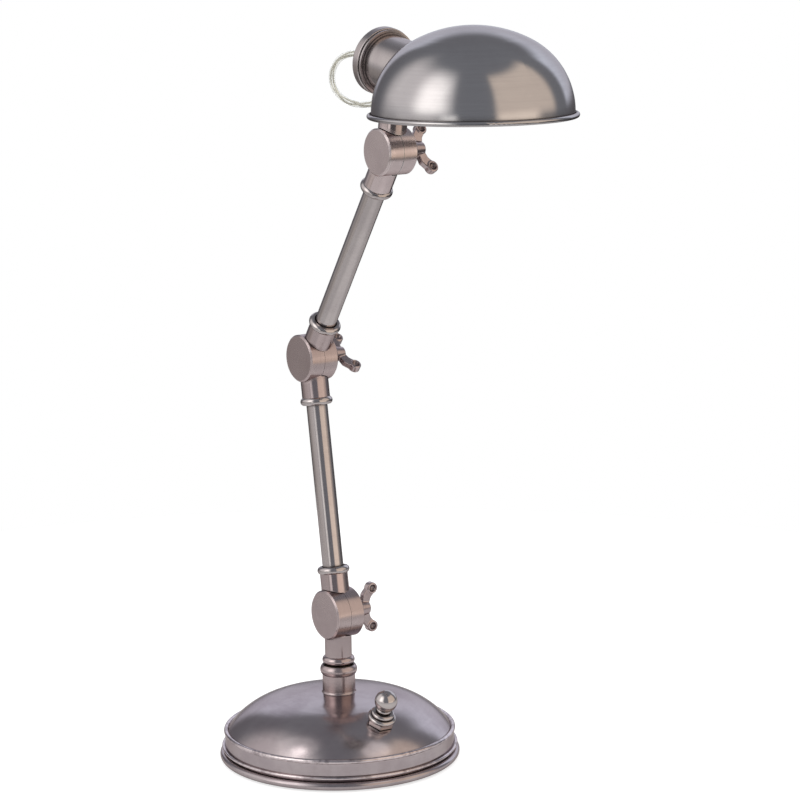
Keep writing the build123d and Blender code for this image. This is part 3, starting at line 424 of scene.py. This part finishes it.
finish = {
    "base": nickel("nickel_base", BASE_MIDDLE, UP, COOL, 0.2, cloud=0.6, lines=0.4, shade_reach=0.0009, glint_rings=BEAD_GLINTS),
    "post": nickel("nickel_post", BASE_MIDDLE, UP, WARM, 0.26, cloud=0.3, wear_glint_share=0.2),
    "shoulder": nickel("nickel_shoulder", shoulder, SIDE, WARM, 0.28, cloud=0.35, neck=NECK),
    "elbow": nickel("nickel_elbow", elbow, SIDE, WARM, 0.28, cloud=0.35, neck=NECK),
    "wrist": nickel("nickel_wrist", wrist, SIDE, LIT_WRIST_TONE, 0.28, cloud=0.35, neck=NECK),
    "lower": nickel("nickel_lower", shoulder, LOWER_WAY, NICKEL, 0.15, cloud=0.3),
    "upper": nickel("nickel_upper", elbow, UPPER_WAY, NICKEL, 0.15, cloud=0.3),
    "cup": nickel("nickel_cup", CUP_ROOT, CUP_WAY, NICKEL, 0.22, cloud=0.35),
    "shade": nickel(
        "nickel_shade", SHADE_MIDDLE, UP, GREY, 0.16, cloud=0.3, lines=0.5, cloud_scale=22.0, shade_reach=0.005,
    ),
    "switch": nickel("nickel_switch", switch, SWITCH_WAY, NICKEL, 0.13, cloud=0.3, lines=0.2),
    "cast": nickel(
        "nickel_cast", elbow, SIDE, WARM, 0.22, cloud=0.5, lines=0.15, aniso=0.0,
        cloud_scale=160.0, shade_reach=0.006,
    ),
    "steel": plain("zinc_steel", (0.55, 0.55, 0.54), (0.42, 0.42, 0.43), 0.32, metallic=1.0),
    "brass": plain("brass", (0.72, 0.55, 0.27), (0.56, 0.4, 0.18), 0.3, metallic=1.0),
    # Painted shade: the swivel washer's brass is made near-black, for the dark gap it sits in between the post and
    # the turret
    "brass_painted_dark": plain("brass_painted_dark", (0.1, 0.075, 0.05), (0.05, 0.04, 0.03), 0.4, metallic=1.0),
    "iron": plain(
        "cast_iron", (0.1, 0.1, 0.1), (0.05, 0.05, 0.052), 0.7, metallic=0.6, bump=0.6, relief=0.0004,
    ),
    "felt": plain("felt", (0.035, 0.035, 0.037), (0.06, 0.058, 0.055), 0.95, 300.0, bump=1.0, relief=0.0004),
    "bushing": plain("black_bushing", (0.03, 0.03, 0.03), (0.05, 0.048, 0.046), 0.45, 200.0),
    "insulator": plain("insulator", (0.06, 0.045, 0.038), (0.1, 0.08, 0.065), 0.4, 160.0),
    "fibre": plain("fibre", (0.3, 0.13, 0.08), (0.4, 0.2, 0.12), 0.7, 500.0),
    "lead": plain(
        "clear_lead", (0.93, 0.93, 0.9), (0.84, 0.84, 0.8), 0.1, 260.0, bump=0.05,
        Transmission_Weight=0.9, IOR=1.4,
    ),
    "glass": plain(
        "opal_glass", (0.94, 0.93, 0.9), (0.9, 0.88, 0.84), 0.35, 60.0, bump=0.05,
        Transmission_Weight=0.25, IOR=1.5,
    ),
    "tinned": plain("tinned_copper", (0.62, 0.6, 0.53), (0.5, 0.48, 0.42), 0.35, 900.0, metallic=1.0),
    "lamp_cap": plain("lamp_cap", (0.72, 0.72, 0.73), (0.6, 0.6, 0.6), 0.3, metallic=1.0),
}
by_slot = {
    "plain_steel": "steel", "cast_weight": "iron", "felt": "felt", "black_bushing": "bushing",
    "insulator": "insulator", "brass": "brass", "fibre": "fibre", "clear_lead": "lead",
    "opal_glass": "glass", "lamp_cap": "lamp_cap",
}
by_node = {
    "base_shell": "base", "base_post": "post", "turret_knuckle": "shoulder", "shoulder_knuckle": "shoulder",
    "elbow_lower_knuckle": "elbow", "elbow_upper_knuckle": "elbow", "wrist_lower_knuckle": "wrist",
    "wrist_upper_knuckle": "wrist", "lower_arm_tube": "lower", "lower_arm_beads": "lower",
    "upper_arm_tube": "upper", "upper_arm_beads": "upper", "socket_cup": "cup", "socket_cap": "cup",
    "shade": "shade", "shade_ring": "cup", "switch_nut": "switch", "switch_collar": "switch",
    "switch_knob": "switch", "shoulder_wing_nut": "cast", "elbow_wing_nut": "cast", "wrist_wing_nut": "cast",
    "swivel_washer": "brass_painted_dark",
}


def look_of(node):
    return finish[by_node.get(node) or by_slot[SLOT_OF[node]]]


def dress(piece, material):
    piece.data.materials.clear()
    piece.data.materials.append(material)


for node, piece in nodes.items():
    dress(piece, look_of(node))

# Turned pieces get rounded edges, and the wing nuts the softness of castings
WELD_REACH = 0.000002
EDGE_ROUND = 0.00025
EDGE_STEPS = 2
EDGE_ANGLE = math.radians(32)
CAST_GRAIN = 0.0003
CAST_PASSES = 6
TURNED = (
    "turret_knuckle", "shoulder_knuckle", "elbow_lower_knuckle", "elbow_upper_knuckle",
    "wrist_lower_knuckle", "wrist_upper_knuckle", "switch_nut",
)
CASTINGS = ("shoulder_wing_nut", "elbow_wing_nut", "wrist_wing_nut")


def copy_of(node, name):
    """A copy of a CAD piece's mesh that stands for it and rides on its body."""
    mesh = nodes[node].data.copy()
    mesh.name = name
    piece = add(name, mesh)
    dress(piece, look_of(node))
    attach(piece, BODY_OF[node])
    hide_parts(node)
    if mesh.attributes.get("custom_normal"):
        mesh.attributes.remove(mesh.attributes["custom_normal"])
    mesh.shade_smooth()
    weld = piece.modifiers.new("weld", "WELD")
    weld.merge_threshold = WELD_REACH
    return piece


for node in TURNED:
    piece = copy_of(node, node + "_soft")
    bevel = piece.modifiers.new("bevel", "BEVEL")
    bevel.width = EDGE_ROUND
    bevel.segments = EDGE_STEPS
    bevel.limit_method = "ANGLE"
    bevel.angle_limit = EDGE_ANGLE
    bevel.miter_outer = "MITER_ARC"
    normals = piece.modifiers.new("normals", "WEIGHTED_NORMAL")
    normals.keep_sharp = False
    normals.weight = 60

for node in CASTINGS:
    piece = copy_of(node, node + "_cast")
    remesh = piece.modifiers.new("remesh", "REMESH")
    remesh.mode = "VOXEL"
    remesh.voxel_size = CAST_GRAIN
    remesh.use_smooth_shade = True
    smooth = piece.modifiers.new("smooth", "SMOOTH")
    smooth.factor = 0.5
    smooth.iterations = CAST_PASSES

# Lead looped from the cap into the stem, ahead of and above the wrist in millimetres
LEAD_ROUTE = (
    (-8.07, 57.6), (-18.9, 59.34), (-33.5, 61.2), (-48.0, 60.0), (-59.5, 55.6), (-66.6, 47.9),
    (-66.6, 39.5), (-60.0, 32.8), (-47.5, 28.6), (-35.0, 27.6), (-22.0, 28.9), (-9.0, 30.4), (2.2, 31.9),
)
MILLIMETRE = 0.001
LEAD_RADIUS = 0.002
lead_points = [wrist + Vector((ahead, 0, over)) * MILLIMETRE for ahead, over in LEAD_ROUTE]
lead_curve = bpy.data.curves.new("lead_sleeve", "CURVE")
lead_curve.dimensions = "3D"
lead_curve.bevel_depth = LEAD_RADIUS
lead_curve.bevel_resolution = 8
lead_curve.resolution_u = 12
lead_curve.use_fill_caps = True
spline = lead_curve.splines.new("NURBS")
spline.points.add(len(lead_points) - 1)
for point, spot in zip(spline.points, lead_points):
    point.co = (*spot, 1.0)
spline.use_endpoint_u = True
spline.order_u = 3
lead = add("lead_sleeve", lead_curve)
dress(lead, finish["lead"])
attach(lead, "head")
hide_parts("head_lead")

# Twisted pair of tinned conductors inside the clear lead
STEPS = 12
TWIST = 0.06
WIRE_RADIUS = 0.00035
WIRE_REACH = 0.0006
legs = [lead_points[0]]
legs += [(first + second) / 2 for first, second in zip(lead_points[1:-2], lead_points[2:-1])]
legs.append(lead_points[-1])
path = []
for start, corner, end in zip(legs, lead_points[1:-1], legs[1:]):
    for step in range(STEPS):
        t = step / STEPS
        path.append(start * (1 - t) ** 2 + corner * 2 * t * (1 - t) + end * t**2)
for number, phase in enumerate((0.0, math.pi), 1):
    curve = bpy.data.curves.new(f"lead_wire_{number}", "CURVE")
    curve.dimensions = "3D"
    curve.bevel_depth = WIRE_RADIUS
    curve.bevel_resolution = 3
    strand = curve.splines.new("POLY")
    strand.points.add(len(path) - 2)
    travelled = 0.0
    for point, spot, onward in zip(strand.points, path, path[1:]):
        across = (onward - spot).normalized().cross(SIDE)
        angle = phase + 2 * math.pi * travelled / TWIST
        point.co = (*(spot + (across * math.cos(angle) + SIDE * math.sin(angle)) * WIRE_REACH), 1.0)
        travelled += (onward - spot).length
    wire = add(curve.name, curve)
    dress(wire, finish["tinned"])
    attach(wire, "head")
